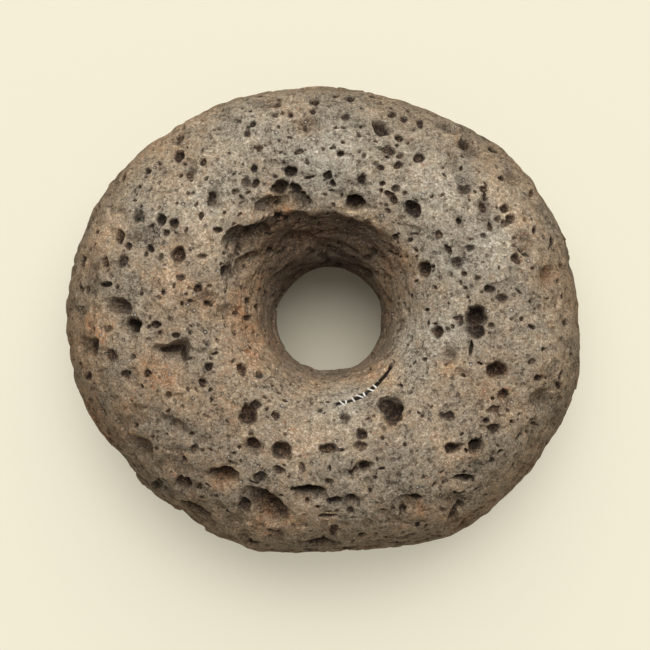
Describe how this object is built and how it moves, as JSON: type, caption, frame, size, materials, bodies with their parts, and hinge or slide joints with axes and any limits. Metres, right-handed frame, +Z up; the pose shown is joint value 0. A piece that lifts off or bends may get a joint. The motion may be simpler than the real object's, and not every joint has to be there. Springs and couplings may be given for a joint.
{
  "type": "stone spindle whorl",
  "caption": "Thick oval ring of pitted grey-brown basalt, its central hole flared above and below and narrowed at the waist for a spindle shaft; lies on its worn underside.",
  "frame": {"origin": "on the ground, under the middle of the outline seen from above", "axes": "+Z up through the hole, +X along the longest way across the stone"},
  "size_m": [0.0902, 0.0818, 0.038],
  "materials": {
    "basalt": "dry, rough, bubbly grey-brown stone with rusty stains and dark pits"
  },
  "bodies": {
    "root": {"whorl": "basalt"}
  },
  "joints": []
}
